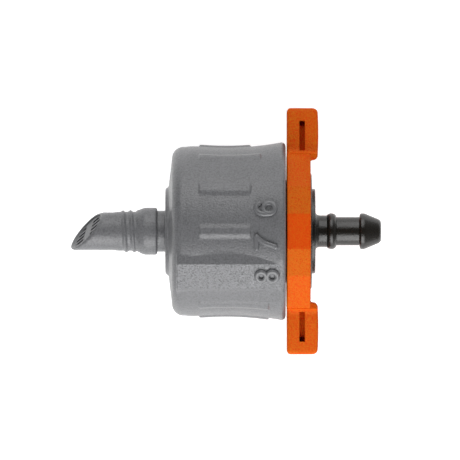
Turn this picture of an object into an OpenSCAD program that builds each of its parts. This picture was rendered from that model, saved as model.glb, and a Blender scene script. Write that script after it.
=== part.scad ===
// Adjustable drip emitter. A numbered grip cap carries a screw-in inlet spigot; a winged ring
// and a barbed outlet turn together in the cap and bring more or less of a toothed channel
// under a fixed port, which sets the flow.
// Frame: X runs along the flow, inlet at -X and outlet at +X, Z is up. The origin is on the
// axis, where the spigot's screw length meets its collar. All sizes are in millimetres.

/* [Inlet spigot] */
// Root radius of the screw length
spigot_r = 3.27; // [3.1:0.01:3.5]
// Length of the screw length in front of the collar
screw_len = 3.3; // [2.5:0.1:4]
// How much thinner the tip is than the screw length, on the radius
tip_step = 0.12; // [0.05:0.01:0.2]
// Distance from the collar to the middle of the slant cut
tip_reach = 8.56; // [8:0.02:10]
// Tilt of the slant cut from square
cut_tilt = 41; // [25:1:44]
// Turn of the slant cut about the axis, from the top
cut_turn = 62; // [0:1:180]
// Radius of the stop collar
collar_r = 3.93; // [3.8:0.01:4.6]
// Length of the stop collar
collar_len = 3.13; // [3:0.01:4]
// Length of the ramp that leads up to the collar
collar_ramp = 1.1; // [0.6:0.05:1.3]
// Radius of the bore
bore_r = 1.9; // [1.5:0.05:2]

/* [Tip strainer] */
// Depth of the strainer below the lip, along the axis
strainer_set = 0.15; // [0.1:0.05:0.6]
// Thickness of the strainer, along the axis
strainer_t = 0.9; // [0.5:0.05:1.2]
// Wall of the tip around the strainer
tip_wall = 0.55; // [0.45:0.05:0.7]
// Width of a slot
slot_w = 0.62; // [0.35:0.01:0.7]
// Middle to middle distance of the slots
slot_pitch = 1; // [0.95:0.01:1.05]
// Width of the bar across the slots
slot_bar = 1.7; // [0.8:0.05:2]
// Turn of the slots from the slope of the cut
slot_turn = 14; // [0:1:30]
// Width of the plain rim around the slots
slot_rim = 0.3; // [0.25:0.05:0.7]

/* [Grip cap outside] */
// Radius of the neck behind the collar
neck_r = 3.43; // [3.3:0.01:3.7]
// Length of the neck
neck_len = 1.35; // [1:0.05:2]
// Radius of the raised disc on the cap's face
boss_r = 7.4; // [6.5:0.05:8.5]
// Height of the raised disc on the cap's face
boss_h = 0.52; // [0.3:0.02:0.8]
// How far the cap's face falls back from the disc to its rounded corner
face_fall = 0.67; // [0.4:0.01:0.9]
// Radius of the cap's rounded corner
cap_round = 1.9; // [1.5:0.05:2.2]
// Radius of the cap behind the rounded corner
shoulder_r = 14.17; // [14.1:0.01:14.6]
// Radius of the cap at the waist
waist_r = 13.96; // [13.8:0.01:14.05]
// Radius of the cap at the rim
rim_r = 14.8; // [14.7:0.01:15.5]
// Length of the cap from the neck to the rim
cap_len = 20.02; // [19.5:0.02:22]
// Distance of the waist from the rim
waist_back = 9.9; // [9.4:0.05:10.4]

/* [Ribs and pad] */
// Height of a grip rib
rib_h = 0.3; // [0.15:0.01:0.4]
// Width of a grip rib at its foot
rib_w = 2.5; // [2:0.1:3]
// Width of a grip rib at its top
rib_top = 0.9; // [0.6:0.1:1.4]
// Start of the ribs behind the cap's face
rib_start = 5.2; // [4.8:0.1:6]
// Length of a rib that ends at a number
rib_short = 8.6; // [7:0.1:9]
// Length of the rib between the first and the last number
rib_mid = 10.3; // [9:0.1:11]
// Length of a rib where there is no number
rib_long = 11.6; // [10:0.1:12]
// Distance of the flat pad from the axis
pad_r = 14.5; // [14.4:0.01:14.6]
// Width of the flat pad
pad_w = 4.67; // [4:0.01:5]
// Run of the slope on each side of the pad
pad_slope = 1.4; // [1:0.05:1.8]
// Turn of the pad about the axis, from the top
pad_turn = -31; // [-32:1:-28]

/* [Cap inside] */
// Thickness of the end wall behind the face disc
end_wall = 2.2; // [1.9:0.05:2.8]
// Thickness of the skirt at the waist
skirt_t = 1.46; // [1.2:0.02:1.6]
// Radius of the chamber
chamber_r = 8.6; // [8.3:0.05:8.8]
// Thickness of the chamber wall
chamber_t = 1.4; // [1.2:0.05:1.6]
// How far the chamber wall stops short of the rim
chamber_back = 0.3; // [0.2:0.05:0.6]
// Radius of the nipple that carries the spigot
nipple_r = 2.7; // [2.6:0.02:2.76]
// Length of the nipple
nipple_len = 2.4; // [2.2:0.05:2.5]
// Radius of the water way through the nipple
way_r = 1.2; // [0.9:0.05:1.3]

/* [Flow discs] */
// Thickness of the port disc
port_t = 1.7; // [1.4:0.05:2.2]
// Radius of the metering port
port_r = 0.6; // [0.4:0.05:0.7]
// Distance of the port and the channel from the axis
track_r = 5.8; // [5.5:0.05:6]
// Thickness of the diaphragm
diaphragm_t = 0.7; // [0.5:0.05:1]
// Thickness of the labyrinth disc
maze_t = 1.9; // [1.6:0.05:2.4]
// Depth of the channel
maze_depth = 0.8; // [0.5:0.05:1]
// Width of the channel
maze_w = 1.6; // [1.2:0.05:1.7]
// Length of the boss that enters the hub
maze_boss = 1.5; // [1:0.1:2]

/* [Winged ring] */
// Gap between the cap's rim and the ring
ring_gap = 0.18; // [0.1:0.02:0.3]
// Thickness of the ring
ring_t = 3.87; // [3.6:0.01:4.4]
// Radius over the corners of the ring's rim
ring_r = 14; // [13.6:0.05:14.5]
// Reach of a wing from the axis
wing_reach = 20.5; // [19:0.1:23]
// Width of a wing along the axis
wing_w = 5.12; // [5:0.02:5.8]
// Thickness of a wing at its root
wing_t = 8; // [7:0.2:9]
// Thickness of a wing at its tip
wing_tip_t = 5.2; // [4.4:0.2:6.8]
// Distance from the axis to the step behind a wing
wing_step = 11.85; // [11.6:0.05:12.4]
// Radius of a wing's corners
wing_round = 0.55; // [0.3:0.05:0.8]
// Width of the slot in a wing
wing_slot_w = 0.9; // [0.6:0.05:1.3]
// Length of the slot in a wing
wing_slot_len = 5; // [4:0.1:5.6]
// Depth of the slot in a wing
wing_slot_depth = 2.6; // [1.5:0.1:2.8]
// Length of the through hole at the slot's outer end
wing_hole_len = 0.75; // [0.5:0.05:1.2]

/* [Outlet base] */
// Wall of the hub
hub_wall = 1.15; // [1:0.05:1.3]
// Radius of the flange
flange_r = 9.57; // [9.5:0.01:10]
// Thickness of the flange
flange_t = 1.5; // [1.2:0.05:1.8]
// How far the flange stands out of the ring
flange_proud = 0.3; // [0.1:0.02:0.5]
// Radius of the step on the flange
step_r = 7.05; // [6:0.05:8]
// Height of the step on the flange
step_h = 0.6; // [0.3:0.05:1]
// Radius of the shank behind the bead
shank_r = 2.64; // [2.5:0.02:2.8]
// Radius of the barb's neck
barb_neck_r = 2.39; // [2.2:0.01:2.5]
// Radius of the barb's crest and of the bead
barb_r = 3; // [2.8:0.02:3.2]
// Radius of the barb's end
barb_end_r = 1.95; // [1.8:0.05:2.1]
// Radius of the outlet bore
outlet_r = 1.35; // [1:0.05:1.4]
// Distance of the bead from the step
bead_at = 2.65; // [2.4:0.05:3]
// Distance of the barb's crest from the step
crest_at = 7.85; // [7:0.05:9]
// Length of the straight land on the crest
crest_land = 0.3; // [0.2:0.05:0.5]
// Length of the barb from its crest to its end
barb_len = 3.13; // [2.6:0.01:4]

/* [Seals and fits] */
// Section of the spigot seal
spigot_seal_d = 0.8; // [0.6:0.02:0.84]
// Section of the hub seal
hub_seal_d = 1; // [0.8:0.02:1.04]
// Clearance of a fixed fit, on the radius
fit_gap = 0.02; // [0.01:0.01:0.04]
// Clearance of a turning fit, on the radius
run_gap = 0.05; // [0.03:0.01:0.08]
// Height of the snap bead on the hub
snap_h = 0.35; // [0.2:0.05:0.45]
// Width of the keys
key_w = 2.4; // [1.6:0.1:3]
// Height of the keys
key_h = 0.7; // [0.5:0.05:0.75]

/* [Hidden] */
$fn = 96;
GREY = [0.47, 0.475, 0.485];
DARK_GREY = [0.4, 0.405, 0.415];
ORANGE = [0.8, 0.33, 0.1];
BLACK = [0.09, 0.09, 0.1];
IVORY = [0.86, 0.85, 0.8];
RUBBER = [0.15, 0.15, 0.16];
// Places along the axis
tip_r = spigot_r - tip_step;
x_boss = collar_len + neck_len;
x_face = x_boss + boss_h;
x_wall = x_face + end_wall;
x_rim = x_boss + cap_len;
x_tube = x_rim - chamber_back;
x_waist = x_rim - waist_back;
x_dia = x_wall + port_t;
x_maze = x_dia + diaphragm_t + run_gap;
x_hub = x_maze + maze_t;
x_ring = x_rim + ring_gap;
x_ring_end = x_ring + ring_t;
x_flange_end = x_ring_end + flange_proud;
x_flange = x_flange_end - flange_t;
x_step = x_flange_end + step_h;
x_bead = x_step + bead_at;
x_crest = x_step + crest_at;
x_end = x_crest + barb_len;
// Radii that follow from the fits
socket_r = nipple_r + fit_gap;
chamber_out_r = chamber_r + chamber_t;
skirt_in_r = waist_r - skirt_t;
hub_r = chamber_r - run_gap;
hub_bore_r = hub_r - hub_seal_d - hub_wall;
tip_in_r = tip_r - tip_wall;
disc_r = chamber_r - fit_gap;
// The waist is an arc through the rim, tangent to the waist
waist_h = rim_r - waist_r;
waist_run = waist_back - 0.8;
waist_arc = (waist_run * waist_run + waist_h * waist_h) / (2 * waist_h);
// The grooves of the two seals
spigot_groove_x = collar_len - nipple_len / 2;
hub_groove_x = x_hub + 3;
snap_x = x_hub + 8;
snap_c = 0.6;
// Ribs: turn about the axis and length; the pad takes the place of the missing one
RIBS = [[0, rib_short], [30, rib_short], [60, rib_mid], [90, rib_short], [120, rib_short],
    [150, rib_short], [180, rib_short], [210, rib_long], [240, rib_long], [270, rib_long],
    [300, rib_long]];
// Corners of the ring's rim, from the top round to the bottom
RIM_TURNS = [12, 32, 66, 114, 148, 168];
// The channel runs between these turns; its outlet is at the last one
MAZE_FROM = -210;
MAZE_TO = 42;

// Solid of revolution about X from [radius, x] points
module rev(points) {
    rotate([0, 90, 0])
        rotate_extrude()
            polygon(points);
}

// Cylinder along X
module bar(x0, x1, r) {
    translate([x0, 0, 0])
        rotate([0, 90, 0])
            cylinder(h = x1 - x0, r = r);
}

// Ring of round section about X
module torus(x, ring, section) {
    translate([x, 0, 0])
        rotate([0, 90, 0])
            rotate_extrude()
                translate([ring, 0])
                    circle(r = section, $fn = 32);
}

// Turns what is built on top of the axis to the given turn, from +Z toward +Y
module at_turn(turn) {
    rotate([-turn, 0, 0])
        children();
}

// Prism along X from [y, z] points
module prism(x0, x1, points) {
    translate([x0, 0, 0])
        rotate([90, 0, 90])
            linear_extrude(height = x1 - x0)
                polygon(points);
}

// Frame of the slant cut: local Z leaves the cut face, local X runs up its slope
module slant(depth) {
    translate([depth - tip_reach, 0, 0])
        at_turn(cut_turn)
            rotate([0, cut_tilt - 90, 0])
                children();
}

// Everything in front of the slant plane at the given depth behind the tip
module in_front(depth) {
    slant(depth)
        translate([-20, -20, 0])
            cube([40, 40, 40]);
}

// Spigot: one moulding with a slant tip, a screw length, a collar and a socket for the nipple
module inlet_spigot() {
    color(GREY)
        difference() {
            rev([[0, -tip_reach - 6], [tip_r, -tip_reach - 6], [tip_r, -screw_len - 1],
                [spigot_r, -screw_len], [spigot_r, 0], [collar_r, collar_ramp],
                [collar_r, collar_len - 0.2], [collar_r - 0.2, collar_len], [0, collar_len]]);
            in_front(0);
            bar(-tip_reach - 7, collar_len, bore_r);
            bar(-tip_reach - 7, -screw_len - 0.6, tip_in_r - slot_rim);
            bar(collar_len - nipple_len - fit_gap, collar_len + 1, socket_r);
            intersection() {
                bar(-tip_reach - 7, 0, tip_in_r);
                in_front(strainer_set + strainer_t);
            }
        }
}

// Strainer: a slanted web with two rows of slots, seated on the shelf inside the tip
module tip_strainer() {
    color(DARK_GREY)
        difference() {
            bar(-tip_reach - 6, -1, tip_in_r - fit_gap);
            in_front(strainer_set);
            difference() {
                bar(-tip_reach - 7, 0, tip_in_r + 1);
                in_front(strainer_set + strainer_t);
            }
            intersection() {
                bar(-tip_reach - 7, 0, tip_in_r - slot_rim);
                slant(strainer_set)
                    rotate([0, 0, -slot_turn])
                        for (side = [0, 180])
                            rotate([0, 0, side])
                                for (row = [-1.5, -0.5, 0.5, 1.5])
                                    translate([slot_bar / 2, row * slot_pitch - slot_w / 2, -3])
                                        cube([8, slot_w, 4]);
            }
        }
}

// Seal between the nipple and the spigot's socket
module spigot_seal() {
    color(RUBBER)
        torus(spigot_groove_x, socket_r - spigot_seal_d / 2, spigot_seal_d / 2 - 0.01);
}

// Outline of the cap's outside, from the face disc to the rim
module cap_outline() {
    corner_r = shoulder_r - 0.1 - cap_round;
    corner_x = x_face + face_fall + cap_round;
    difference() {
        union() {
            polygon([[0, x_boss], [boss_r - 0.45, x_boss], [boss_r, x_face],
                [corner_r, corner_x - cap_round], [corner_r + cap_round, corner_x],
                [shoulder_r, corner_x + 1.4], [rim_r, x_rim - 0.9], [rim_r, x_rim - 0.35],
                [rim_r - 0.35, x_rim], [0, x_rim]]);
            translate([corner_r, corner_x])
                circle(r = cap_round);
        }
        translate([waist_r + waist_arc, x_waist])
            circle(r = waist_arc, $fn = 360);
    }
}

// Grip ribs: their tops follow the waist, their flanks are drafted
module grip_ribs() {
    foot = waist_r - 0.4;
    intersection() {
        union() {
            for (rib = RIBS)
                at_turn(rib[0])
                    prism(x_boss + rib_start + 0.4, x_boss + rib_start + rib[1], [[-rib_w / 2, foot],
                        [rib_w / 2, foot], [rib_top / 2, waist_r + rib_h + 0.2],
                        [-rib_top / 2, waist_r + rib_h + 0.2]]);
        }
        rotate([0, 90, 0])
            rotate_extrude()
                difference() {
                    polygon([[foot - 1, x_face], [rim_r, x_face], [rim_r, x_rim], [foot - 1, x_rim]]);
                    translate([waist_r + waist_arc, x_waist])
                        circle(r = waist_arc - rib_h, $fn = 360);
                }
    }
}

// Flat pad for the marking, with a slope on each side
module flat_pad() {
    low = waist_r - 1;
    drop = pad_r - 0.85;
    at_turn(pad_turn)
        prism(x_face + face_fall + 0.8, x_rim - 0.1, [[-pad_w / 2, low], [pad_w / 2, low],
            [pad_w / 2 + pad_slope, drop - 0.4], [pad_w / 2 + pad_slope, drop],
            [pad_w / 2, pad_r], [-pad_w / 2, pad_r], [-pad_w / 2 - pad_slope, drop],
            [-pad_w / 2 - pad_slope, drop - 0.4]]);
}

// Cap: grip skirt, end wall, chamber wall, neck and nipple in one moulding
module grip_cap() {
    seal_floor = socket_r - spigot_seal_d;
    color(GREY)
        difference() {
            union() {
                rotate([0, 90, 0])
                    rotate_extrude()
                        cap_outline();
                grip_ribs();
                flat_pad();
                bar(collar_len, x_boss + 0.1, neck_r);
                bar(collar_len - nipple_len, collar_len + 0.1, nipple_r);
            }
            at_turn(pad_turn)
                translate([x_face, -4, pad_r])
                    cube([x_rim, 8, 4]);
            difference() {
                bar(x_wall, x_rim + 1, skirt_in_r);
                bar(x_wall - 1, x_tube, chamber_out_r);
            }
            bar(x_wall, x_rim + 1, chamber_r);
            bar(collar_len - nipple_len - 1, x_wall + 1, way_r);
            rev([[seal_floor, spigot_groove_x - spigot_seal_d / 2 - 0.05],
                [nipple_r + 0.01, spigot_groove_x - spigot_seal_d / 2 - 0.05],
                [nipple_r + 0.01, spigot_groove_x + spigot_seal_d / 2 + 0.05],
                [seal_floor, spigot_groove_x + spigot_seal_d / 2 + 0.05]]);
            torus(snap_x, hub_r + snap_h - snap_c, snap_c + run_gap + 0.03);
            translate([x_wall, -key_w / 2 - fit_gap, chamber_r - 0.5])
                cube([port_t + diaphragm_t + maze_t, key_w + 2 * fit_gap, key_h + fit_gap + 0.5]);
        }
}

// Port disc: lies on the end wall, a key holds its turn, pips hold the diaphragm
module port_disc() {
    color(IVORY)
        difference() {
            union() {
                bar(x_wall, x_dia, disc_r);
                translate([x_wall, -key_w / 2, disc_r - 0.6])
                    cube([port_t, key_w, key_h + 0.6]);
                for (turn = [120, 240])
                    at_turn(turn)
                        translate([0, 0, track_r])
                            bar(x_dia - 0.1, x_dia + diaphragm_t - 0.1, 0.6);
            }
            bar(x_wall - 1, x_wall + port_t / 2, track_r + port_r + 0.3);
            translate([0, 0, track_r])
                bar(x_wall - 1, x_dia + 1, port_r);
        }
}

// Diaphragm: a soft disc over the port disc
module diaphragm() {
    color([0.93, 0.92, 0.9])
        difference() {
            bar(x_dia, x_dia + diaphragm_t, disc_r - run_gap);
            translate([0, 0, track_r])
                bar(x_dia - 1, x_dia + diaphragm_t + 1, port_r + 0.1);
            for (turn = [120, 240])
                at_turn(turn)
                    translate([0, 0, track_r])
                        bar(x_dia - 1, x_dia + diaphragm_t + 1, 0.6 + fit_gap);
        }
}

// Ring-shaped slice of the channel between its two ends
module channel() {
    mid = (MAZE_FROM + MAZE_TO) / 2 + 180;
    half = (360 - MAZE_TO + MAZE_FROM) / 2;
    far = 2 * track_r;
    difference() {
        bar(x_maze - 1, x_maze + maze_depth, track_r + maze_w / 2);
        bar(x_maze - 2, x_maze + maze_depth + 1, track_r - maze_w / 2);
        at_turn(mid)
            prism(x_maze - 2, x_maze + maze_depth + 1, [[0, 0], [-far * sin(half), far * cos(half)],
                [0, 2 * far], [far * sin(half), far * cos(half)]]);
    }
}

// Labyrinth disc: toothed channel in front, a keyed boss in the hub behind
module labyrinth_disc() {
    color(IVORY)
        difference() {
            union() {
                difference() {
                    bar(x_maze, x_hub, hub_r);
                    channel();
                }
                for (i = [0 : 22])
                    at_turn(MAZE_FROM + 9 + i * 10)
                        translate([x_maze, -0.2, track_r + (i % 2 == 0 ? -maze_w / 2 - 0.1 : -maze_w / 8)])
                            cube([maze_depth + 0.1, 0.4, maze_w * 5 / 8 + 0.1]);
                bar(x_hub - 0.1, x_hub + maze_boss, hub_bore_r - fit_gap);
                translate([x_hub - 0.1, -key_w / 2, 0])
                    cube([0.9, key_w, hub_r - 0.3]);
            }
            at_turn(MAZE_TO - 7)
                translate([0, 0, track_r])
                    bar(x_maze - 1, x_hub + maze_boss + 1, 0.6);
            bar(x_hub, x_hub + maze_boss + 1, hub_bore_r - 1.4);
        }
}

// Seal between the hub and the chamber wall
module hub_seal() {
    color(RUBBER)
        torus(hub_groove_x, hub_r + run_gap - hub_seal_d / 2 - 0.01, hub_seal_d / 2 - 0.01);
}

// Outlet base: hub, snap bead, flange and hose barb in one moulding
module outlet_base() {
    groove_floor = hub_r + run_gap - hub_seal_d - 0.01;
    color(BLACK)
        difference() {
            union() {
                rev([[0, x_hub], [hub_r, x_hub], [hub_r, x_flange], [flange_r, x_flange],
                    [flange_r, x_flange_end - 0.15], [flange_r - 0.15, x_flange_end],
                    [step_r, x_flange_end], [step_r, x_step - 0.15], [step_r - 0.15, x_step], [0, x_step]]);
                torus(snap_x, hub_r + snap_h - snap_c, snap_c);
                for (side = [0, 180])
                    at_turn(side)
                        translate([x_ring + 0.3, -key_w / 2, hub_r - 0.6])
                            cube([x_flange - x_ring - 0.2, key_w, key_h + 0.6]);
                rotate([0, 90, 0])
                    rotate_extrude()
                        barb_outline();
            }
            bar(x_hub - 1, x_ring, hub_bore_r);
            bar(x_hub - 1, x_end + 1, outlet_r);
            translate([x_hub - 1, -key_w / 2 - fit_gap, 0])
                cube([1 + 0.8 + fit_gap, key_w + 2 * fit_gap, hub_r - 0.3 + fit_gap]);
            rev([[groove_floor, hub_groove_x - hub_seal_d / 2 - 0.05],
                [hub_r + 1, hub_groove_x - hub_seal_d / 2 - 0.05],
                [hub_r + 1, hub_groove_x + hub_seal_d / 2 + 0.05],
                [groove_floor, hub_groove_x + hub_seal_d / 2 + 0.05]]);
        }
}

// Outline of the barb with its rounded bead and the fillet at its foot
module barb_outline() {
    fillet = 0.9;
    difference() {
        polygon([[0, x_step - 0.1], [shank_r + fillet, x_step - 0.1], [shank_r + fillet, x_step],
            [shank_r, x_step + fillet], [shank_r, x_bead], [barb_neck_r, x_bead + 0.7],
            [barb_neck_r, x_crest - crest_land / 2 - 0.25], [barb_r, x_crest - crest_land / 2],
            [barb_r, x_crest + crest_land / 2], [barb_end_r, x_end - 0.3],
            [barb_end_r - 0.25, x_end], [0, x_end]]);
        translate([shank_r + fillet, x_step + fillet])
            circle(r = fillet);
    }
    translate([barb_r - 0.8, x_bead])
        circle(r = 0.8);
}

// One wing, seen from the top: two rounded corners at its tip, and a step behind it that is
// rounded outside and filleted where it meets the rim
module wing_outline() {
    c = wing_round;
    x1 = x_ring + wing_w;
    out = 0.55 * (wing_w - ring_t);
    fillet = 0.4 * (wing_w - ring_t);
    difference() {
        translate([x_ring, wing_step])
            square([wing_w, wing_reach - wing_step - c]);
        difference() {
            translate([x1 - out, wing_step - 1])
                square([out + 1, out + 1]);
            translate([x1 - out, wing_step + out])
                circle(r = out, $fn = 32);
        }
    }
    translate([x_ring, wing_step - 2])
        square([ring_t, 3]);
    difference() {
        translate([x_ring_end - 0.1, wing_step - fillet])
            square([fillet + 0.1, fillet + 0.1]);
        translate([x_ring_end + fillet, wing_step - fillet])
            circle(r = fillet, $fn = 32);
    }
    translate([x_ring + c, wing_reach - c - 1])
        square([wing_w - 2 * c, 1 + c]);
    translate([x_ring + c, wing_reach - c])
        circle(r = c, $fn = 32);
    translate([x1 - c, wing_reach - c])
        circle(r = c, $fn = 32);
}

// One wing: the outline, cut by a wedge that thins it from the start of its slot to its tip
module wing() {
    from = wing_step + 1.65;
    draft = (wing_t - wing_tip_t) / 2 / (wing_reach - from);
    end = wing_tip_t / 2 - draft;
    intersection() {
        translate([0, 0, -wing_t])
            linear_extrude(height = 2 * wing_t)
                wing_outline();
        prism(x_ring - 1, x_ring + wing_w + 1, [[0, -wing_t / 2], [from, -wing_t / 2],
            [wing_reach + 1, -end], [wing_reach + 1, end], [from, wing_t / 2], [0, wing_t / 2]]);
    }
}

// Ring: faceted rim with two slotted wings, keyed on the hub, its recess takes the flange
module winged_ring() {
    rim = concat([for (t = RIM_TURNS) [ring_r * sin(t), ring_r * cos(t)]],
        [for (i = [5 : -1 : 0]) [-ring_r * sin(RIM_TURNS[i]), ring_r * cos(RIM_TURNS[i])]]);
    slot_x = x_ring + wing_w / 2;
    slot_y = wing_reach - 2.1;
    color(ORANGE)
        difference() {
            union() {
                prism(x_ring, x_ring_end, rim);
                for (side = [0, 1])
                    mirror([0, side, 0])
                        wing();
            }
            bar(x_ring - 1, x_ring_end + 1, hub_r + fit_gap);
            bar(x_flange, x_ring_end + 1, flange_r + fit_gap);
            for (side = [0, 180])
                at_turn(side)
                    translate([x_ring - 1, -key_w / 2 - fit_gap, hub_r - 0.6])
                        cube([x_flange - x_ring + 1.1, key_w + 2 * fit_gap, key_h + 0.6 + fit_gap]);
            for (side = [0, 1])
                mirror([0, side, 0]) {
                    translate([slot_x - wing_slot_w / 2, slot_y - wing_slot_len, wing_t / 2 - wing_slot_depth])
                        cube([wing_slot_w, wing_slot_len, wing_slot_depth + 1]);
                    translate([slot_x - wing_slot_w / 2, slot_y - wing_slot_len, -wing_t / 2 - 1])
                        cube([wing_slot_w, wing_slot_len, wing_slot_depth + 1]);
                    translate([slot_x - wing_slot_w / 2, slot_y - wing_hole_len, -wing_t])
                        cube([wing_slot_w, wing_hole_len, 2 * wing_t]);
                }
        }
}

inlet_spigot();
tip_strainer();
spigot_seal();
grip_cap();
port_disc();
diaphragm();
labyrinth_disc();
hub_seal();
outlet_base();
winged_ring();
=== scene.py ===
import math

import bmesh
import bpy
import numpy as np
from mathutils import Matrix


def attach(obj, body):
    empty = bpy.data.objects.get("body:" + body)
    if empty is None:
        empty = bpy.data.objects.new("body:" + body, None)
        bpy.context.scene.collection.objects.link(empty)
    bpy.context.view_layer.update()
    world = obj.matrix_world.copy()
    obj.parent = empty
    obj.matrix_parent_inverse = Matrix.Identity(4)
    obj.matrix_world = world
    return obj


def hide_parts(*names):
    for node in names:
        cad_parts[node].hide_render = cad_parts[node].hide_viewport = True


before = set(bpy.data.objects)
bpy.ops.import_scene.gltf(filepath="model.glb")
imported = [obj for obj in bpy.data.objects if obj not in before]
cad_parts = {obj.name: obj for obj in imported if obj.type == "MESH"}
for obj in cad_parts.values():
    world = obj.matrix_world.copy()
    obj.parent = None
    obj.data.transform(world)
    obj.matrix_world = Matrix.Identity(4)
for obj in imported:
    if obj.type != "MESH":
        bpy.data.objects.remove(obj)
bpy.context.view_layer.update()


# Inlet spigot: the grey nozzle that is screwed into a hole in the supply pipe. Its tip is cut at a
# slant to pierce the wall, a fine right-hand screw holds it there and the collar stops it.
# It is one satin moulding, pushed over the nipple of the cap.
MM = 0.001
WELD = 2e-7


def surface(points, round_rows=False):
    """Corners and faces of a grid of points in millimetres, rows by columns: four neighbours make a
    face, the last column joins the first, and on a grid that is round both ways so do the rows. The
    faces are turned round if the volume that they enclose comes out negative."""
    rows, columns = points.shape[:2]
    index = np.arange(rows * columns).reshape(rows, columns)
    index = np.hstack([index, index[:, :1]])
    if round_rows:
        index = np.vstack([index, index[:1]])
    corners = [index[:-1, :-1], index[:-1, 1:], index[1:, 1:], index[1:, :-1]]
    quads = np.stack(corners, axis=-1).reshape(-1, 4)
    place = points.reshape(-1, 3)
    a, b, c, d = (place[quads[:, k]] for k in range(4))
    volume = np.sum(a * np.cross(b, c)) + np.sum(a * np.cross(c, d))
    return place, quads if volume > 0 else quads[:, ::-1]


def piece(name, surfaces, crease=40):
    """One object from one or more closed surfaces. Points that fall together, as at a pole, become
    one; the shading is smooth but breaks where two faces meet at more than the crease angle."""
    starts = np.cumsum([0] + [len(place) for place, _ in surfaces])
    places = np.vstack([place for place, _ in surfaces]) * MM
    quads = np.vstack([quads + start for (_, quads), start in zip(surfaces, starts)])
    mesh = bpy.data.meshes.new(name)
    mesh.from_pydata(places.tolist(), [], quads.tolist())
    welded = bmesh.new()
    welded.from_mesh(mesh)
    bmesh.ops.remove_doubles(welded, verts=welded.verts, dist=WELD)
    bmesh.ops.dissolve_degenerate(welded, edges=welded.edges, dist=WELD)
    welded.to_mesh(mesh)
    welded.free()
    mesh.polygons.foreach_set("use_smooth", np.ones(len(mesh.polygons), dtype=bool))
    mesh.set_sharp_from_angle(angle=math.radians(crease))
    made = bpy.data.objects.new(name, mesh)
    bpy.context.scene.collection.objects.link(made)
    return made


def rounded(corners, steps=7, closed=True):
    """A line through corners of (across, along, setback): each corner becomes a parabola between the
    two points that lie the setback away from it on its sides. Steps that fall together are left out."""
    corners = np.asarray(corners, dtype=float)
    here, setback = corners[:, :2], corners[:, 2:]
    back = np.roll(here, 1, axis=0) - here
    ahead = np.roll(here, -1, axis=0) - here
    back = here + setback * back / np.linalg.norm(back, axis=1, keepdims=True)
    ahead = here + setback * ahead / np.linalg.norm(ahead, axis=1, keepdims=True)
    s = np.linspace(0, 1, steps)[None, :, None]
    line = (1 - s) ** 2 * back[:, None] + 2 * s * (1 - s) * here[:, None] + s**2 * ahead[:, None]
    line = line.reshape(-1, 2)
    before = line[-1:] if closed else line[:1] - 1
    step = np.linalg.norm(np.diff(line, axis=0, prepend=before), axis=1)
    return line[step > 1e-6]


def soft(value, low, high):
    """0 below low, 1 above high, and a smooth S between them."""
    t = np.clip((value - low) / (high - low), 0, 1)
    return t * t * (3 - 2 * t)


def turned(x, radius, turn):
    """Points about the X axis: y is the radius times the sine of the turn, z times its cosine."""
    x, radius, turn = np.broadcast_arrays(x, radius, turn)
    return np.stack([x, radius * np.sin(turn), radius * np.cos(turn)], axis=-1)


TIP_REACH, CUT_RISE_Y, CUT_RISE_Z = 8.74, 0.768, 0.408
TIP_R, TIP_HOLE_R, SHELF_R, BORE_R = 3.15, 2.6, 2.3, 1.9
SHELF_DEPTH, LIP_FALL_IN, LIP_FALL_OUT = 1.23, 0.31, 0.55
SHELF_END, TUBE_END = -3.9, -4.6
ROOT_R, PITCH, CREST_H, CREST_HALF, CREST_TOP_X = 3.27, 1.333, 0.26, 0.52, -2.67
SWELL_X, SCREW_X, SCREW_FULL_X, SCREW_FADE_X, SCREW_END_X = -4.5, -3.1, -2.5, 0.5, 0.35
COLLAR_FOOT_X, COLLAR_TOP_X, COLLAR_RISE, COLLAR_END = -0.6, 0.9, 0.58, 3.13
SOCKET_R, SOCKET_X = 2.72, 0.71


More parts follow.
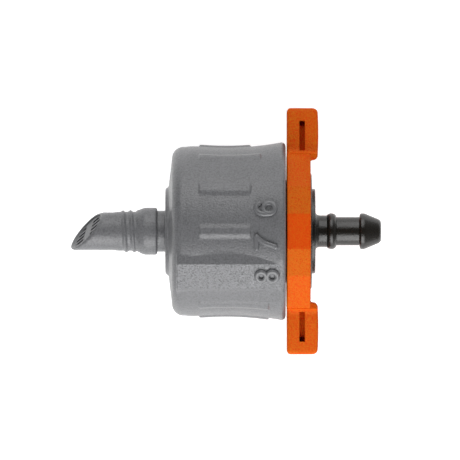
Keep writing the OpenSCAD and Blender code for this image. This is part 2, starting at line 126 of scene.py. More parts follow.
def spigot_surface(columns=144):
    """Rows from the water way round the slant lip, along the tube and the screw, over the collar and
    back through the socket. The cut is a plane, so its x is a rise times y plus a rise times z. The
    screw adds a cosine ridge where x is near the pitch times the turn, counted down from +Y."""
    turn = np.linspace(0, 2 * np.pi, columns, endpoint=False)[None, :]

    def cut(radius):
        return -TIP_REACH + radius * (CUT_RISE_Y * np.sin(turn) + CUT_RISE_Z * np.cos(turn))

    way = turned(np.full((2, 1), SHELF_END), np.array([[BORE_R], [SHELF_R]]), turn)
    across = np.linspace(-1, 1, 19)
    lip_r = TIP_HOLE_R + (TIP_R - TIP_HOLE_R) * (across + 1) / 2
    lip_r = np.concatenate([[SHELF_R, TIP_HOLE_R], lip_r])[:, None]
    fall = np.where(across < 0, LIP_FALL_IN, LIP_FALL_OUT) * across**2
    fall = np.concatenate([[SHELF_DEPTH, SHELF_DEPTH], fall])[:, None]
    lip = turned(cut(lip_r) + fall, lip_r, turn)
    share = np.linspace(0.12, 1, 12)[:, None]
    tube_x = (cut(TIP_R) + LIP_FALL_OUT) * (1 - share) + TUBE_END * share
    tube = turned(tube_x, TIP_R, turn)

    x = np.linspace(SWELL_X, SCREW_END_X, 92)[:, None]
    phase = (x - CREST_TOP_X) / PITCH - (np.pi / 2 - turn) / (2 * np.pi)
    off = np.abs(phase - np.round(phase)) * PITCH
    ridge = 0.5 + 0.5 * np.cos(np.pi * np.clip(off / CREST_HALF, 0, 1))
    ridge = ridge * soft(x, SCREW_X, SCREW_FULL_X) * (1 - soft(x, COLLAR_FOOT_X, SCREW_FADE_X))
    base = TIP_R + (ROOT_R - TIP_R) * soft(x, SWELL_X, SCREW_X)
    base = base + COLLAR_RISE * soft(x, COLLAR_FOOT_X, COLLAR_TOP_X)
    screw = turned(x, base + CREST_H * ridge, turn)

    collar = rounded([
        (0.45, 3.72, 0), (0.98, 3.94, 0.4), (COLLAR_END, 3.93, 0.42),
        (COLLAR_END, SOCKET_R, 0), (SOCKET_X, SOCKET_R, 0), (SOCKET_X, BORE_R, 0),
    ], closed=False)
    collar = turned(collar[:, :1], collar[:, 1:], turn)
    return surface(np.concatenate([way, lip, tube, screw, collar]), round_rows=True)


def node_group(name, inputs, outputs):
    """A shader node group with these named float inputs and outputs."""
    group = bpy.data.node_groups.new(name, "ShaderNodeTree")
    for label, value in inputs.items():
        socket = group.interface.new_socket(label, in_out="INPUT", socket_type="NodeSocketFloat")
        socket.default_value = value
    for label in outputs:
        group.interface.new_socket(label, in_out="OUTPUT", socket_type="NodeSocketFloat")
    return group, group.nodes.new("NodeGroupInput"), group.nodes.new("NodeGroupOutput")


def math_node(tree, operation, a, b=None):
    """A Math node; each of a and b is a socket to join or a number to set."""
    made = tree.nodes.new("ShaderNodeMath")
    made.operation = operation
    for socket, value in zip(made.inputs, (a, b)):
        if value is None:
            continue
        if isinstance(value, (int, float)):
            socket.default_value = value
        else:
            tree.links.new(value, socket)
    return made.outputs[0]


def range_node(tree, value, low, high, at_low, at_high):
    """A Map Range node: at_low where the value is low or less, at_high where it is high or more."""
    made = tree.nodes.new("ShaderNodeMapRange")
    made.inputs["From Min"].default_value = low
    made.inputs["From Max"].default_value = high
    made.inputs["To Min"].default_value = at_low
    made.inputs["To Max"].default_value = at_high
    tree.links.new(value, made.inputs["Value"])
    return made.outputs["Result"]


# The skin of spark-eroded moulds, shared by all the plastics: pits about Pit millimetres apart with
# finer ones among them give Height, and slow clouds of the melt give Cloud.
mould_skin, skin_in, skin_out = node_group(
    "mould_skin", {"Pit": 0.3, "Cloud size": 4.0}, ["Height", "Cloud"])
object_place = mould_skin.nodes.new("ShaderNodeTexCoord").outputs["Object"]
pits = mould_skin.nodes.new("ShaderNodeTexNoise")
fine = mould_skin.nodes.new("ShaderNodeTexNoise")
clouds = mould_skin.nodes.new("ShaderNodeTexNoise")
for noise, per_metre, apart, detail in (
    (pits, 1000.0, "Pit", 2.0),
    (fine, 1600.0, "Pit", 1.0),
    (clouds, 1000.0, "Cloud size", 3.0),
):
    scale = math_node(mould_skin, "DIVIDE", per_metre, skin_in.outputs[apart])
    mould_skin.links.new(object_place, noise.inputs["Vector"])
    mould_skin.links.new(scale, noise.inputs["Scale"])
    noise.inputs["Detail"].default_value = detail
fine_share = math_node(mould_skin, "MULTIPLY", fine.outputs["Fac"], 0.5)
height = math_node(mould_skin, "ADD", pits.outputs["Fac"], fine_share)
mould_skin.links.new(height, skin_out.inputs["Height"])
mould_skin.links.new(clouds.outputs["Fac"], skin_out.inputs["Cloud"])

MEAN_HEIGHT, HEIGHT_SPAN, GLOSS_SWING = 0.75, 0.3, 0.08
TONE_SHARE, CLOUD_SHARE = 0.455, 0.1


def moulded(name, tone, shade, pit, depth, roughness, shine=0.5, wander=2.0, grain_and_painted_light=None, press=3.0,
            painted_light=0.0):
    """A plastic whose colour wanders between shade and tone with the pits and clouds of its mould, whose
    roughness follows the pits, and whose pits are pressed in to the given depth in millimetres. Where the
    optional mask is 1, the pits are deeper by press, and the colour is moved nearer to tone by the last
    argument, which is painted light: a lightening that stands in for light falling on that place."""
    material = bpy.data.materials.new(name)
    material.use_nodes = True
    tree = material.node_tree
    shader = tree.nodes["Principled BSDF"]
    skin = tree.nodes.new("ShaderNodeGroup")
    skin.node_tree = mould_skin
    skin.inputs["Pit"].default_value = pit
    pressed = skin.outputs["Height"]
    rise = math_node(tree, "SUBTRACT", pressed, MEAN_HEIGHT)
    share = math_node(tree, "ADD", math_node(tree, "MULTIPLY", rise, wander), TONE_SHARE)
    cloud = math_node(tree, "MULTIPLY", skin.outputs["Cloud"], CLOUD_SHARE)
    share = math_node(tree, "ADD", cloud, share)
    if grain_and_painted_light:
        mask = grain_and_painted_light(tree)
        more = math_node(tree, "MULTIPLY", rise, math_node(tree, "MULTIPLY", mask, press))
        pressed = math_node(tree, "ADD", pressed, more)
        share = math_node(tree, "ADD", share, math_node(tree, "MULTIPLY", more, wander))
        # Painted light: where the mask is 1 the colour is lightened toward tone, standing in for light
        # rather than a colour of the plastic.
        share = math_node(tree, "ADD", share, math_node(tree, "MULTIPLY", mask, painted_light))
    mix = tree.nodes.new("ShaderNodeMix")
    mix.data_type = "RGBA"
    mix.inputs["A"].default_value = (*shade, 1)
    mix.inputs["B"].default_value = (*tone, 1)
    tree.links.new(share, mix.inputs["Factor"])
    tree.links.new(mix.outputs["Result"], shader.inputs["Base Color"])
    gloss = range_node(tree, pressed, MEAN_HEIGHT - HEIGHT_SPAN, MEAN_HEIGHT + HEIGHT_SPAN,
                       roughness + GLOSS_SWING, roughness - GLOSS_SWING)
    tree.links.new(gloss, shader.inputs["Roughness"])
    bump = tree.nodes.new("ShaderNodeBump")
    bump.inputs["Strength"].default_value = 1.0
    bump.inputs["Distance"].default_value = depth * MM
    tree.links.new(pressed, bump.inputs["Height"])
    tree.links.new(bump.outputs["Normal"], shader.inputs["Normal"])
    shader.inputs["Specular IOR Level"].default_value = shine
    return material


def grey(level):
    """The cool grey of the cap at a share of its full tone."""
    return (0.157 * level, 0.159 * level, 0.166 * level)


grey_satin = moulded("grey_satin_plastic", grey(1.6), grey(0.4), pit=0.3, depth=0.06, roughness=0.33,
                     wander=0.8)
spigot = piece("inlet_spigot_moulding", [spigot_surface()])
spigot.data.materials.append(grey_satin)
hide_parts("inlet_spigot")
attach(spigot, "housing")


# Tip strainer: a slanted web with two rows of narrow slots that keeps grit out of the water way. Grey
# moulded plastic, pressed down to a shelf inside the lip of the spigot's tip.
def dress(node, finish):
    """Gives a solid of the frame one material in place of its own."""
    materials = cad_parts[node].data.materials
    materials.clear()
    materials.append(finish)


strainer_grey = moulded("strainer_plastic", grey(1.0), grey(0.8), pit=0.2, depth=0.01, roughness=0.45)
dress("tip_strainer", strainer_grey)


# Spigot seal: a small ring in a groove of the cap's nipple, squeezed by the spigot's socket. It is
# plain black rubber.
seal_rubber = moulded("seal_rubber", (0.022, 0.022, 0.023), (0.014, 0.014, 0.015), pit=0.12,
                      depth=0.006, roughness=0.6)
dress("spigot_seal", seal_rubber)


# Grip cap: the ribbed outer cap with its neck, nipple and inner chamber wall, one grey moulding. Eleven
# drafted ribs stand on a slightly hollow waist, and a flat pad takes the place of the twelfth.
WAIST_R, WAIST_X, WAIST_ARC, WAIST_BLEND = 13.96, 14.6, 49.7, 0.12
SHOULDER_R, SHOULDER_X, ROUND_R, ROUND_X, ROUND_C = 14.17, 9.0, 1.9, 7.5, 12.17
RIM_X, RIM_ROUND = 24.5, 0.7
PAD_TURN, PAD_R, PAD_HALF, PAD_X, PAD_FROM_X = math.radians(-31), 14.5, 2.335, 6.47, 5.9
PAD_RUN, PAD_DROP, PAD_BLEND, PAD_CUT_HALF, PAD_SKIN = 1.4, 0.85, 0.1, 3.4, 0.12
PAD_SPAN, PAD_HOLD = 0.45, 0.6
PAD_BEVEL, PAD_BEVEL_RUN, PAD_END_FALL = 0.1, 0.3, 1.6
RIB_H, RIB_FOOT, RIB_TOP, RIB_X, RIB_RAMP, RIB_EASE = 0.3, 1.42, 0.28, 10.05, 0.4, 0.1
RIB_SHORT, RIB_MID, RIB_LONG = 18.75, 20.45, 21.75
RIB_ENDS = {
    0: RIB_SHORT, 30: RIB_SHORT, 60: RIB_MID, 90: RIB_SHORT, 120: RIB_SHORT, 150: RIB_SHORT,
    180: RIB_SHORT, 210: RIB_LONG, 240: RIB_LONG, 270: RIB_LONG, 300: RIB_LONG,
}
SKIRT_R, WALL_X, WALL_R, WALL_END, CHAMBER_R, SNAP_X = 12.5, 7.2, 10, 24.2, 8.6, 19.55
NIPPLE_R, GROOVE_R, NIPPLE_BORE_R = 2.7, 1.92, 1.2
FAR = 99


def waist(x):
    """Radius of the cap's side: a straight shoulder, then an arc that is lowest at the waist. The two
    are blended where they are nearly equal."""
    shoulder = ROUND_C + ROUND_R + (SHOULDER_R - ROUND_C - ROUND_R) * soft(x, ROUND_X, SHOULDER_X)
    arc = WAIST_R + WAIST_ARC - np.sqrt(WAIST_ARC**2 - (x - WAIST_X) ** 2)
    shoulder = np.where(x < WAIST_X, shoulder, FAR)
    near = np.clip(WAIST_BLEND - np.abs(shoulder - arc), 0, None)
    return np.minimum(shoulder, arc) - near**2 / (4 * WAIST_BLEND)


def grip(x, radius, turn):
    """Radius of the cap with its ribs and pad. A rib is a ramp up to its height and down again across
    the turn, times the same at its two ends. The pad is a plane at a fixed distance from the axis with a
    sloping plane on each side; the cap takes whichever lies further out, and the plane also cuts the rim."""
    for at, end in RIB_ENDS.items():
        off = np.abs((turn - math.radians(at) + np.pi) % (2 * np.pi) - np.pi) * WAIST_R
        across = np.clip((RIB_FOOT - off) / (RIB_FOOT - RIB_TOP), 0, 1)
        rising = np.clip((x - RIB_X + RIB_EASE) / RIB_RAMP, 0, 1)
        falling = np.clip((end + RIB_EASE - x) / RIB_RAMP, 0, 1)
        radius = radius + RIB_H * soft(across, 0, 1) * soft(rising * falling, 0, 1)
    lean = (turn - PAD_TURN + np.pi) % (2 * np.pi) - np.pi
    held = np.clip(lean, -PAD_HOLD, PAD_HOLD)
    beside = np.abs(np.tan(held)) * PAD_R
    drop = PAD_DROP * np.clip((beside - PAD_HALF) / PAD_RUN, 0, None)
    bevel = PAD_BEVEL * np.clip((PAD_X + 0.2 - x) / PAD_BEVEL_RUN, 0, 1)
    end_wall = PAD_END_FALL * (1 - soft(x, PAD_X - 0.22, PAD_X - 0.08))
    plane = (PAD_R - drop) / np.cos(held) - bevel - end_wall
    gap = np.clip(PAD_BLEND - np.abs(plane - radius), 0, None)
    padded = np.maximum(plane, radius) + gap**2 / (4 * PAD_BLEND)
    inside = (np.abs(lean) < PAD_SPAN) & (x > PAD_FROM_X)
    cut = np.where(beside < PAD_CUT_HALF, PAD_R / np.cos(held), FAR)
    return np.where(inside, np.minimum(padded, cut), radius)


def cap_surface():
    """Rows from the nipple over the neck, the face, the corner and the side to the rim, and back along
    the inside of the skirt and both sides of the chamber wall. Columns are close together where the
    flanks of the ribs and of the pad are, and rows where the ribs end."""
    flank = np.concatenate([
        np.linspace(-14, -6, 5), np.linspace(-5.5, -1.4, 10), np.linspace(-0.7, 0.7, 3),
        np.linspace(1.4, 5.5, 10), np.linspace(6, 14, 5),
    ])
    pad = np.concatenate([np.linspace(-14.6, -8, 20), np.linspace(-7, 7, 12), np.linspace(8, 14.6, 20)])
    turn = np.concatenate([at + (pad if at == 330 else flank) for at in range(0, 360, 30)])
    turn = np.radians(turn)[None, :]

    front = rounded([
        (0.73, NIPPLE_BORE_R, 0), (0.73, NIPPLE_R, 0.2), (1.48, NIPPLE_R, 0), (1.48, GROOVE_R, 0),
        (2.38, GROOVE_R, 0), (2.38, NIPPLE_R, 0), (COLLAR_END, NIPPLE_R, 0), (COLLAR_END, 3.43, 0.1),
        (4.48, 3.43, 0.25), (4.48, 7.05, 0.22), (5.02, 7.42, 0.22), (5.58, 12.0, 0),
    ], closed=False)
    bend = np.linspace(-np.pi / 2 + 0.06, 0, 34)
    bend_x, bend_r = ROUND_X + ROUND_R * np.sin(bend), ROUND_C + ROUND_R * np.cos(bend)
    side_x = np.concatenate([
        np.linspace(7.7, 9.7, 8), np.linspace(9.85, 10.5, 10), np.linspace(10.8, 18.2, 22),
        np.linspace(18.4, 18.95, 8), np.linspace(19.2, 20.0, 4), np.linspace(20.1, 20.65, 8),
        np.linspace(20.9, 21.3, 3), np.linspace(21.4, 21.95, 8), np.linspace(22.2, 23.78, 8),
    ])
    x = np.concatenate([bend_x, side_x])[:, None]
    r = np.concatenate([bend_r, waist(side_x)])[:, None]
    outside = turned(x, grip(x, r, turn), turn)
    edge = np.linspace(0, np.pi / 2, 7)[:, None]
    edge_x = np.array([[RIM_X - RIM_ROUND]])
    rim_r = grip(edge_x, waist(edge_x), turn) - RIM_ROUND * (1 - np.cos(edge))
    rim = turned(edge_x + RIM_ROUND * np.sin(edge), rim_r, turn)
    snap = np.linspace(0, np.pi, 9)
    inner = np.vstack([
        [(RIM_X, 13.6), (RIM_X - 0.3, 13.3), (22, SKIRT_R), (WALL_X, SKIRT_R), (WALL_X, WALL_R),
         (WALL_END, WALL_R), (WALL_END, CHAMBER_R)],
        np.stack([SNAP_X + 0.6 * np.cos(snap), CHAMBER_R + 0.42 * np.sin(snap)], axis=1),
        [(WALL_X, CHAMBER_R), (WALL_X, NIPPLE_BORE_R)],
    ])
    front, inner = (turned(line[:, :1], line[:, 1:], turn) for line in (front, inner))
    return surface(np.concatenate([front, outside, rim, inner]), round_rows=True)


def on_pad(tree):
    """1 on the flat pad, else 0: the place's distance along the pad's normal is the pad's own distance
    from the axis, and its distance across it is less than the pad's half width."""
    place = tree.nodes.new("ShaderNodeTexCoord").outputs["Object"]
    sine, cosine = math.sin(PAD_TURN), math.cos(PAD_TURN)
    dots = []
    for direction in ((0, sine, cosine), (0, cosine, -sine)):
        dot = tree.nodes.new("ShaderNodeVectorMath")
        dot.operation = "DOT_PRODUCT"
        dot.inputs[1].default_value = direction
        tree.links.new(place, dot.inputs[0])
        dots.append(dot.outputs["Value"])
    high = math_node(tree, "GREATER_THAN", dots[0], (PAD_R - PAD_SKIN) * MM)
    within = math_node(tree, "LESS_THAN", math_node(tree, "ABSOLUTE", dots[1]), PAD_HALF * MM)
    return math_node(tree, "MULTIPLY", high, within)


# The pad's coarser grain is real; its paler colour (the last argument) is a painted highlight, standing in
# for the lamp's reflection on the pad.
cap_grey = moulded("cap_grey_plastic", grey(1.6), grey(0.4), pit=0.3, depth=0.06, roughness=0.33,
                   wander=0.8, grain_and_painted_light=on_pad, press=1.3, painted_light=0.2)
cap = piece("grip_cap_moulding", [cap_surface()], crease=50)
cap.data.materials.append(cap_grey)
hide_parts("grip_cap")
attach(cap, "housing")


# Flow numbers: raised round strokes along the cap's rim, moulded with the cap but polished smoother.
# They stand with their heads toward the inlet, about a sixteenth of a turn apart in two runs, 8 to 6
# and 5 to 1, and the middle facet of the ring is turned against them.
STROKE_HALF, STROKE_H, STROKE_SINK, STROKE_BULGE = 0.43, 0.54, 0.3, 0.65
END_STEPS = 6


def stroke(line, at, foot_x, closed=False):
    """A raised stroke along a line of (across, up) points in millimetres: a blunt half ellipse carried
    along the line, with rounded ends, wrapped on the cap by turning across into turn and up into -x."""
    if closed:
        ahead = np.roll(line, -1, axis=0) - np.roll(line, 1, axis=0)
    else:
        ahead = np.gradient(line, axis=0)
    ahead = ahead / np.linalg.norm(ahead, axis=1, keepdims=True)
    wide = np.ones(len(line))
    if not closed:
        run = np.cos(np.linspace(np.pi / 2, 0, END_STEPS))[:, None] - 1
        head = line[0] + ahead[0] * STROKE_HALF * run
        tail = line[-1] - ahead[-1] * STROKE_HALF * run[::-1]
        line = np.vstack([head[:-1], line, tail[1:]])
        added = END_STEPS - 1
        ahead = np.vstack([np.repeat(ahead[:1], added, 0), ahead, np.repeat(ahead[-1:], added, 0)])
        round_end = np.sqrt(np.clip(1 - run[:, 0] ** 2, 0, 1))
        wide = np.concatenate([round_end[:-1], wide, round_end[::-1][1:]])
    side = np.stack([ahead[:, 1], -ahead[:, 0]], axis=1)
    around = np.linspace(0, 2 * np.pi, 20, endpoint=False)[None, :]
    flat = line[:, None] + side[:, None] * (STROKE_HALF * wide[:, None] * np.cos(around))[..., None]
    sine = np.sin(around)
    rise = np.where(sine > 0, STROKE_H, STROKE_SINK) * wide[:, None]
    rise = rise * np.sign(sine) * np.abs(sine) ** STROKE_BULGE
    x = foot_x - flat[..., 1]
    turn = math.radians(at) + flat[..., 0] / WAIST_R
    return surface(turned(x, grip(x, waist(x), turn) + rise, turn), round_rows=closed)


def curve(*through, steps=7):
    """A smooth line through points: each stretch is a cubic that leaves and reaches its points in the
    direction of their neighbours on both sides."""
    through = np.asarray(through, dtype=float)
    lean = np.gradient(through, axis=0)
    s = np.linspace(0, 1, steps, endpoint=False)[None, :, None]
    line = (2 * s**3 - 3 * s**2 + 1) * through[:-1, None] + (s**3 - 2 * s**2 + s) * lean[:-1, None]
    line = line + (3 * s**2 - 2 * s**3) * through[1:, None] + (s**3 - s**2) * lean[1:, None]
    return np.vstack([line.reshape(-1, 2), through[-1:]])


def loop(middle, half_width, half_height):
    """Points all round an ellipse about the middle line of a number."""
    angle = np.linspace(0, 2 * np.pi, 44, endpoint=False)
    return np.stack([half_width * np.cos(angle), middle + half_height * np.sin(angle)], axis=1)


def straight(start, stop):
    """Points along a straight line, ten steps from its start to its stop."""
    share = np.linspace(0, 1, 11)
    return np.stack([np.interp(share, (0, 1), ends) for ends in zip(start, stop)], axis=1)


# Each number from 8 down to 1: its turn round the rim, the x of its foot, its closed strokes and its
# open ones.
NUMBERS = [
    (-30.6, 23.45, [loop(1.2, 0.86, 0.84), loop(3.03, 0.78, 0.76)], []),
    (-7.6, 23.1, [], [
        straight((-1.0, 3.5), (1.0, 3.5)),
        curve((1.0, 3.5), (0.32, 2.67), (-0.1, 1.97), (-0.34, 1.2), (-0.62, 0.35)),
    ]),
    (15.0, 23.0, [loop(1.3, 0.86, 0.95)], [
        curve((-0.86, 1.3), (-0.88, 2.2), (-0.6, 3.05), (0, 3.42), (0.6, 3.3), (0.88, 2.9)),
    ]),
    (112.5, 23.1, [], [
        straight((0.9, 3.35), (-0.8, 3.35)),
        straight((-0.8, 3.35), (-0.95, 2.05)),
        curve((-0.95, 2.05), (-0.2, 2.3), (0.65, 2.1), (1.02, 1.35), (0.65, 0.6), (-0.15, 0.35),
              (-1.0, 0.75)),
    ]),
    (135, 23.1, [], [
        straight((0.5, 0.36), (0.5, 3.35)),
        straight((0.5, 3.35), (-1.1, 1.2)),
        straight((-1.1, 1.2), (1.1, 1.2)),
    ]),
    (157.5, 23.1, [], [
        curve((-0.9, 3.0), (-0.2, 3.35), (0.55, 3.2), (0.85, 2.6), (0.5, 2.05), (-0.2, 1.9)),
        curve((-0.2, 1.9), (0.65, 1.75), (1.0, 1.1), (0.6, 0.5), (-0.15, 0.35), (-1.0, 0.7)),
    ]),
    (180, 23.1, [], [
        curve((-0.95, 2.6), (-0.6, 3.15), (0.1, 3.35), (0.75, 3.05), (0.85, 2.4), (0.3, 1.6),
              (-1.0, 0.4)),
        straight((-1.0, 0.4), (1.0, 0.4)),
    ]),
    (202.5, 23.1, [], [
        straight((-0.7, 2.6), (0.25, 3.35)),
        straight((0.25, 3.35), (0.25, 0.36)),
    ]),
]
strokes = []
for at, foot_x, closed_lines, open_lines in NUMBERS:
    strokes += [stroke(line, at, foot_x, closed=True) for line in closed_lines]
    strokes += [stroke(line, at, foot_x) for line in open_lines]
number_grey = moulded("number_grey_plastic", grey(1.6), grey(0.4), pit=0.3, depth=0.012,
                      roughness=0.21, wander=0.3)
numbers = piece("flow_numbers", strokes)
numbers.data.materials.append(number_grey)
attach(numbers, "housing")


# Port disc, diaphragm, labyrinth disc and hub seal: the flow parts inside the chamber. The discs are
# plain ivory mouldings, keyed to the cap and to the hub; the soft disc between them is silicone, and
# the seal round the hub is the same rubber as the spigot's.
ivory = moulded("ivory_plastic", (0.72, 0.7, 0.62), (0.66, 0.64, 0.56), pit=0.2, depth=0.006,
                roughness=0.45)
silicone = moulded("silicone", (0.8, 0.79, 0.75), (0.74, 0.73, 0.69), pit=0.3, depth=0.005,
                   roughness=0.4)
dress("port_disc", ivory)
dress("diaphragm", silicone)
dress("labyrinth_disc", ivory)
dress("hub_seal", seal_rubber)


# Outlet base: the black hub that turns in the chamber, its flange and the hose barb, one semi-gloss
# moulding. A bead snaps into the chamber wall, and the flange holds the ring on.
HUB_X, HUB_R, HUB_HOLLOW_R, HUB_FLOOR_X = 11.55, 8.55, 6.4, 24.68
FLANGE_X, FLANGE_R, FLANGE_END, STEP_R, STEP_END = 27.35, 9.57, 28.85, 7.05, 29.45
SHANK_R, NECK_R, BARB_R, OUTLET_R, OUTLET_END = 2.64, 2.37, 3.0, 1.35, 40.4


def outlet_surface(columns=128):
    """A profile turned about X: the hub with its seal groove and snap bead, the flange and its step, the
    shank, the round bead, the neck and the barb, and back through the bore and the hollow hub."""
    snap = np.linspace(np.pi, 0, 9)
    bead = np.linspace(np.pi - 0.4, 0, 15)
    profile = np.vstack([
        [(HUB_X, HUB_HOLLOW_R), (HUB_X, HUB_R), (14.0, HUB_R), (14.0, 7.6), (15.1, 7.6), (15.1, HUB_R)],
        np.stack([SNAP_X + 0.55 * np.cos(snap), HUB_R + 0.35 * np.sin(snap)], axis=1),
        rounded([
            (24.0, HUB_R, 0), (FLANGE_X, HUB_R, 0), (FLANGE_X, FLANGE_R, 0.1), (FLANGE_END, FLANGE_R, 0.2),
            (FLANGE_END, STEP_R, 0.1), (STEP_END, STEP_R, 0.16), (STEP_END, SHANK_R, 0.85),
            (31.3, SHANK_R, 0),
        ], closed=False),
        np.stack([32.13 + 0.82 * np.cos(bead), 2.4 + 0.6 * np.sin(bead)], axis=1),
        rounded([
            (33.1, NECK_R, 0), (36.78, NECK_R, 0.08), (36.92, BARB_R, 0.3), (37.62, BARB_R, 0.3),
            (40.15, 1.95, 0.3), (OUTLET_END, 1.62, 0.14), (OUTLET_END, OUTLET_R, 0.08),
            (HUB_FLOOR_X, OUTLET_R, 0), (HUB_FLOOR_X, HUB_HOLLOW_R, 0),
        ], closed=False),
    ])
    turn = np.linspace(0, 2 * np.pi, columns, endpoint=False)[None, :]
    return surface(turned(profile[:, :1], profile[:, 1:], turn), round_rows=True)


black_satin = moulded("black_satin_plastic", (0.012, 0.01, 0.0075), (0.006, 0.0048, 0.0035), pit=0.4,
                      depth=0.015, roughness=0.3, shine=0.56)
outlet = piece("outlet_base_moulding", [outlet_surface()])
outlet.data.materials.append(black_satin)
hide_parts("outlet_base")
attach(outlet, "adjuster")


# Winged ring: the orange ring that is turned by hand, with a faceted rim and two wings with a slot each.
# One moulding, keyed on the hub and held by the flange. The facets beside the middle ones have the
# coarsest grain, and the middle ones the finest; their colour is painted light as well: the facets beside
# the middle ones are painted lighter and yellower, the wings and the rest half as much, the middle ones not
# at all.
RING_R, RING_X, RING_END, RING_BORE_R, RECESS_R = 14.0, 24.68, 28.63, 8.57, 9.6
RIM_TURNS = (12, 32, 66, 114, 148, 168)
FACET_SOFT, BACK_ROUND, FRONT_ROUND, RECESS_BEVEL = 0.22, 0.26, 0.3, 0.12
WING_ROUND, WING_X, WING_END, WING_HALF, WING_DRAFT = 0.55, 24.7, 29.82, 4.0, 0.2
WING_SWELL, SWELL_Y, SWELL_HALF = 0.13, 16.3, 4.0
WING_TIP_Y, WING_TIP_RUN, TIP_TAPER = 19.75, 0.75, 1.6
ROOT_Y, ROOT_FILLET, DRAFT_Y = 13.95, 1.05, 13.5
SLOT_X0, SLOT_X1, SLOT_Y0, SLOT_Y1, SLOT_FLOOR = 26.81, 27.69, 13.41, 18.36, 1.4
HOLE_Y0, HOLE_FLOOR, SLOT_LIP, LIP_DROP = 17.61, 0.05, 0.03, 0.05


def rim_surface():
    """A closed outline carried round a rounded section: the outline is a polygon with softened corners,
    and each row of the section moves it inwards, from the rounded outer edges to the recess and the bore."""
    turns = np.radians([*RIM_TURNS, *(360 - t for t in RIM_TURNS[::-1])])
    setback = np.full(len(turns), FACET_SOFT)
    outline = rounded(np.stack([RING_R * np.sin(turns), RING_R * np.cos(turns), setback], axis=1))
    out = np.linalg.norm(outline, axis=1, keepdims=True)
    edge = np.linspace(0, np.pi / 2, 6)
    rows = [(RING_X + BACK_ROUND * (1 - np.sin(a)), out - BACK_ROUND * (1 - np.cos(a))) for a in edge[::-1]]
    rows += [(RING_END - FRONT_ROUND * (1 - np.sin(a)), out - FRONT_ROUND * (1 - np.cos(a))) for a in edge]
    rows += [
        (RING_END, RECESS_R + RECESS_BEVEL), (RING_END - RECESS_BEVEL, RECESS_R), (FLANGE_X, RECESS_R),
        (FLANGE_X, RING_BORE_R), (RING_X, RING_BORE_R),
    ]
    ring = [np.column_stack([np.full(len(out), x), outline / out * radius]) for x, radius in rows]
    return surface(np.array(ring), round_rows=True)


def wing_surface(side):
    """A plate lofted along y. Each row is a rectangle with rounded corners in x and z; its outlet edge
    falls away at the step, its thickness swells into a fillet at the root, and it closes in round the
    tip. The faces drop inside the slot, and further at the slot's outer end."""
    sweep = np.linspace(0, np.pi / 2, 8)
    tip = np.linspace(0, np.pi / 2, 7)
    y = np.concatenate([
        [10.9], 11.35 + 0.5 * np.sin(sweep), 12.56 - 0.7 * np.cos(sweep), [12.75],
        np.linspace(12.9, 13.3, 6), [13.36, 13.40, 13.43], np.linspace(13.6, 14.2, 5),
        [15, 16, 17, 17.6, 17.63, 18.34, 18.37, 18.41, 18.6, 19.4], WING_TIP_Y + WING_TIP_RUN * np.sin(tip),
    ])[:, None]
    step = np.concatenate([[28.5], 28.6 + 0.5 * (1 - np.cos(sweep)), 29.17 + 0.65 * np.sin(sweep)])
    right = np.concatenate([step, np.full(len(y) - len(step), WING_END)])[:, None]
    inset = np.zeros_like(y)
    inset[-len(tip):, 0] = WING_ROUND * (1 - np.cos(tip))
    left = WING_X + inset
    swell = WING_SWELL * np.clip(1 - ((y - SWELL_Y) / SWELL_HALF) ** 2, 0, 1)
    right = right + swell - TIP_TAPER * inset
    reach = np.clip((ROOT_Y - y) / ROOT_FILLET, 0, 1)
    half = WING_HALF - WING_DRAFT * np.clip(y - DRAFT_Y, 0, None)
    half = half + ROOT_FILLET * (1 - np.sqrt(1 - reach**2)) - inset

    inner = np.array([26.0, 26.68, 26.76, 26.80, 26.83, 27.67, 27.70, 27.74, 27.82, 28.0])[None, :]
    face_x = np.hstack([left + WING_ROUND, inner + 0 * y, right - WING_ROUND])

    def within(room):
        across = (face_x > SLOT_X0 - room) & (face_x < SLOT_X1 + room)
        return across & (y > SLOT_Y0 - room) & (y < SLOT_Y1 + room)

    floor = np.where(y > HOLE_Y0, HOLE_FLOOR, SLOT_FLOOR)
    face_z = np.where(within(0), floor, half - LIP_DROP * within(SLOT_LIP))
    bend = np.linspace(0, np.pi / 2, 6)[None, 1:-1]
    flat = half - WING_ROUND
    corner_x = right - WING_ROUND + WING_ROUND * np.sin(bend)
    other_x = left + WING_ROUND - WING_ROUND * np.sin(bend)
    corner_z = flat + WING_ROUND * np.cos(bend)
    x = np.hstack([
        face_x, corner_x, right, right, corner_x[:, ::-1],
        face_x[:, ::-1], other_x, left, left, other_x[:, ::-1],
    ])
    z = np.hstack([
        face_z, corner_z, flat, -flat, -corner_z[:, ::-1],
        -face_z[:, ::-1], -corner_z, -flat, flat, corner_z[:, ::-1],
    ])
    grid = np.stack([x, side * (y + 0 * x), z], axis=-1)
    ends = [np.broadcast_to(row.mean(axis=0), row.shape)[None] for row in (grid[0], grid[-1])]
    return surface(np.concatenate([ends[0], grid, ends[1]]))


def facet_grain_and_painted_light(tree):
    """Half everywhere, but 0 on the middle facets of the rim and 1 on the ones beside them. Both are
    found from the ratio of y to z, and only short of the ring's end face. The mask sets how coarse the grain
    is and also how much painted light lightens the colour."""
    place = tree.nodes.new("ShaderNodeSeparateXYZ")
    tree.links.new(tree.nodes.new("ShaderNodeTexCoord").outputs["Object"], place.inputs[0])
    ratio = math_node(tree, "DIVIDE", place.outputs["Y"], place.outputs["Z"])
    ratio = math_node(tree, "ABSOLUTE", ratio)
    near = math_node(tree, "LESS_THAN", ratio, math.tan(math.radians(RIM_TURNS[1])))
    middle = math_node(tree, "LESS_THAN", ratio, math.tan(math.radians(RIM_TURNS[0])))
    change = math_node(tree, "SUBTRACT", math_node(tree, "MULTIPLY", near, 0.5), middle)
    on_rim = math_node(tree, "LESS_THAN", place.outputs["X"], (RING_END - 0.1) * MM)
    return math_node(tree, "ADD", math_node(tree, "MULTIPLY", change, on_rim), 0.5)


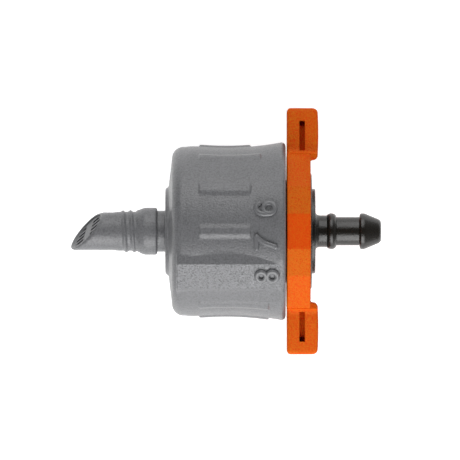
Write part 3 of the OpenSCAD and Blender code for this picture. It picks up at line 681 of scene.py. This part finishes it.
# Painted light: the facets beside the middle ones are painted lighter and yellower, the wings and the rest
# half as much.
orange_grip = moulded("orange_grip_plastic", (0.72, 0.148, 0.008), (0.74, 0.015, 0.001), pit=0.26,
                      depth=0.04, roughness=0.5, shine=0.05, wander=0.9, grain_and_painted_light=facet_grain_and_painted_light, press=2.0,
                      painted_light=0.48)
ring = piece("winged_ring_moulding", [rim_surface(), wing_surface(1), wing_surface(-1)], crease=45)
ring.data.materials.append(orange_grip)
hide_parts("winged_ring")
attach(ring, "adjuster")


# Bench: a white table under the emitter, two soft boxes along its sides and a dim room. To the camera
# the table is lifted to paper white, less so near the part, where it keeps the part's soft shadow. The
# room is white below and just above the horizon, so that low views end in white too.
FLOOR_Z, FLOOR_HALF = -15.2 * MM, 2
LIFT_NEAR, LIFT_FAR, NEAR, AWAY = 0.66, 1.0, 0.07, 0.16
bench = bpy.data.meshes.new("bench")
corners = [(FLOOR_HALF * x, FLOOR_HALF * y, FLOOR_Z) for x, y in ((-1, -1), (1, -1), (1, 1), (-1, 1))]
bench.from_pydata(corners, [], [(0, 1, 2, 3)])
bench = bpy.data.objects.new("bench", bench)
bpy.context.scene.collection.objects.link(bench)
paper = bpy.data.materials.new("white_paper")
paper.use_nodes = True
tree = paper.node_tree
shader = tree.nodes["Principled BSDF"]
shader.inputs["Base Color"].default_value = (0.8, 0.8, 0.8, 1)
shader.inputs["Roughness"].default_value = 0.9
shader.inputs["Specular IOR Level"].default_value = 0.1
shader.inputs["Emission Color"].default_value = (1, 1, 1, 1)
seen = tree.nodes.new("ShaderNodeLightPath").outputs
mirrored = math_node(tree, "MAXIMUM", seen["Is Glossy Ray"], seen["Is Transmission Ray"])
lift = math_node(tree, "MAXIMUM", seen["Is Camera Ray"], mirrored)
distance = tree.nodes.new("ShaderNodeVectorMath")
distance.operation = "LENGTH"
tree.links.new(tree.nodes.new("ShaderNodeTexCoord").outputs["Object"], distance.inputs[0])
white = range_node(tree, distance.outputs["Value"], NEAR, AWAY, LIFT_NEAR, LIFT_FAR)
tree.links.new(math_node(tree, "MULTIPLY", lift, white), shader.inputs["Emission Strength"])
bench.data.materials.append(paper)

ROOM_LOW, ROOM_HIGH, ROOM_BRIGHT, ROOM_DIM, HORIZON = 0.2, 0.95, 0.36, 0.03, 0.04
room = bpy.data.worlds.new("room")
bpy.context.scene.world = room
room.use_nodes = True
tree = room.node_tree
up = tree.nodes.new("ShaderNodeSeparateXYZ")
tree.links.new(tree.nodes.new("ShaderNodeTexCoord").outputs["Generated"], up.inputs[0])
level = range_node(tree, up.outputs["Z"], ROOM_LOW, ROOM_HIGH, ROOM_BRIGHT, ROOM_DIM)
horizon = math_node(tree, "LESS_THAN", up.outputs["Z"], HORIZON)
level = math_node(tree, "MAXIMUM", level, horizon)
tree.links.new(level, tree.nodes["Background"].inputs["Strength"])
tree.nodes["Background"].inputs["Color"].default_value = (1, 1, 1, 1)

MIDDLE = (15.25 * MM, 0.2 * MM, 0.0)
BOX_WIDE, BOX_TALL = 0.28, 0.32
for name, place, power in (
    ("box_below", (0.015, -0.285, 0.18), 1.3),
    ("box_above", (0.015, 0.285, 0.185), 0.72),
):
    lamp = bpy.data.lights.new(name, "AREA")
    lamp.shape = "RECTANGLE"
    lamp.size, lamp.size_y = BOX_WIDE, BOX_TALL
    lamp.energy = power
    lamp = bpy.data.objects.new(name, lamp)
    lamp.location = place
    aim = np.array(MIDDLE) - np.array(place)
    lamp.rotation_euler = (math.atan2(aim[1], -aim[2]), 0, 0)
    bpy.context.scene.collection.objects.link(lamp)

LENS, FILM, FRAME_W = 700, 36, 76.67
camera = bpy.data.cameras.new("camera")
camera.lens = LENS
camera.sensor_width = FILM
camera = bpy.data.objects.new("camera", camera)
camera.location = (MIDDLE[0], MIDDLE[1], FRAME_W * MM * LENS / FILM)
bpy.context.scene.collection.objects.link(camera)
bpy.context.scene.camera = camera
bpy.context.scene.view_settings.view_transform = "Standard"
